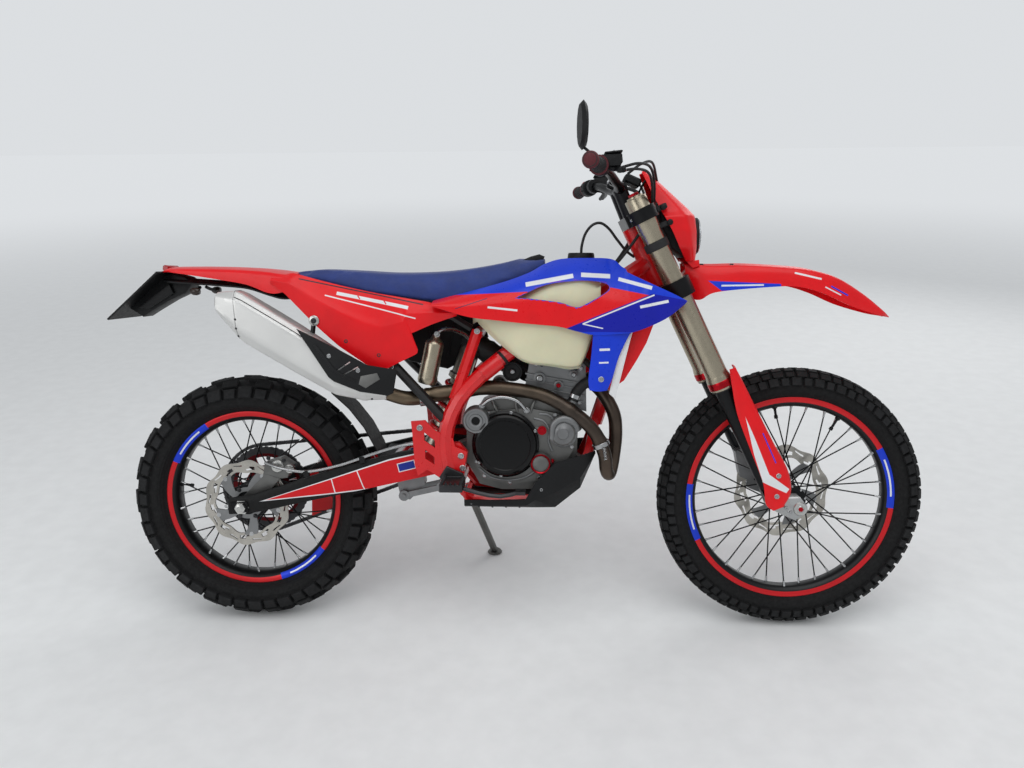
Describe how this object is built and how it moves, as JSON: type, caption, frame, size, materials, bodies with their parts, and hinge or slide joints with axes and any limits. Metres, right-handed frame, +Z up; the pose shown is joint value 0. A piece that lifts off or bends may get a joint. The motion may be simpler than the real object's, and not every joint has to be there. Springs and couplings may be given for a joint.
{
  "type": "enduro motorcycle",
  "caption": "Off-road enduro motorcycle leaning on its side stand, with knobbly tyres, upside-down fork, high exhaust and long seat.",
  "frame": {"origin": "centre of the overall box's base, on the floor that the tyres and the side stand's foot touch", "axes": "+X forward, +Y to the rider's left, +Z up; the motorcycle leans to its left on its side stand"},
  "size_m": [2.2304, 0.7958, 1.3959],
  "materials": {
    "red_paint": "gloss paint",
    "black_aluminium": "satin black anodised",
    "cast_aluminium": "cast alloy",
    "dark_engine": "satin dark grey",
    "black_plastic": "matt",
    "blued_steel": "heat tinted",
    "silencer_aluminium": "satin",
    "tank_plastic": "translucent cream",
    "seat_cover": "grained cover",
    "blue_plastic": "gloss",
    "red_plastic": "gloss",
    "shock_grey": "satin",
    "chain_steel": "oiled",
    "caliper_silver": "cast alloy",
    "peg_steel": "plain",
    "gold_aluminium": "champagne anodised",
    "lens": "clear",
    "grip_rubber": "moulded",
    "tyre": "block tread",
    "hub_alloy": "black anodised",
    "disc_steel": "ground",
    "sprocket_red": "anodised"
  },
  "bodies": {
    "frame": {"frame": "red_paint", "subframe": "black_aluminium", "swingarm": "black_aluminium", "engine_cases": "cast_aluminium", "cylinder": "cast_aluminium", "right_engine_cover": "dark_engine", "left_engine_cover": "dark_engine", "throttle_body": "black_plastic", "header_pipe": "blued_steel", "silencer": "silencer_aluminium", "silencer_guard": "black_plastic", "skid_plate": "black_plastic", "radiator_left": "cast_aluminium", "radiator_right": "cast_aluminium", "fuel_tank": "tank_plastic", "seat": "seat_cover", "shroud_left": "blue_plastic", "shroud_right": "blue_plastic", "side_panel_left": "red_plastic", "side_panel_right": "red_plastic", "rear_fender": "red_plastic", "plate_holder": "black_plastic", "shock": "shock_grey", "linkage": "silencer_aluminium", "chain": "chain_steel", "chain_guide": "red_plastic", "rear_caliper": "caliper_silver", "footpeg_left": "peg_steel", "footpeg_right": "peg_steel", "brake_pedal": "peg_steel", "gear_lever": "peg_steel"},
    "steering": {"yokes": "black_aluminium", "fork_outer_left": "gold_aluminium", "fork_outer_right": "gold_aluminium", "fork_lowers": "cast_aluminium", "fork_guard_left": "red_plastic", "fork_guard_right": "red_plastic", "front_fender": "red_plastic", "headlight_mask": "red_plastic", "headlight": "lens", "handlebar": "black_aluminium", "grip_left": "grip_rubber", "grip_right": "grip_rubber", "controls_left": "black_plastic", "controls_right": "black_plastic", "mirror": "black_plastic", "front_caliper": "caliper_silver"},
    "front_wheel": {"front_tyre": "tyre", "front_rim": "black_aluminium", "front_hub": "hub_alloy", "front_disc": "disc_steel"},
    "rear_wheel": {"rear_tyre": "tyre", "rear_rim": "black_aluminium", "rear_hub": "hub_alloy", "rear_disc": "disc_steel", "rear_sprocket": "sprocket_red"},
    "side_stand": {"side_stand": "peg_steel"}
  },
  "joints": [
    {"name": "steering", "type": "hinge", "parent": "frame", "child": "steering", "pos_m": [0.40769, -0.0536, 0.90114], "axis": [-0.4379, 0.1619, 0.8843], "range_deg": [-42, 42]},
    {"name": "front_wheel_spin", "type": "hinge", "parent": "steering", "child": "front_wheel", "pos_m": [0.75837, -0.15404, 0.35251], "axis": [-0.0001, 0.9836, -0.1801], "continuous": true},
    {"name": "rear_wheel_spin", "type": "hinge", "parent": "frame", "child": "rear_wheel", "pos_m": [-0.72146, -0.15638, 0.34043], "axis": [-0.0001, 0.9836, -0.1801], "continuous": true},
    {"name": "side_stand_fold", "type": "hinge", "parent": "frame", "child": "side_stand", "pos_m": [-0.13348, -0.02701, 0.29714], "axis": [0.0796, 0.8667, 0.4925], "range_deg": [0, 100]}
  ]
}
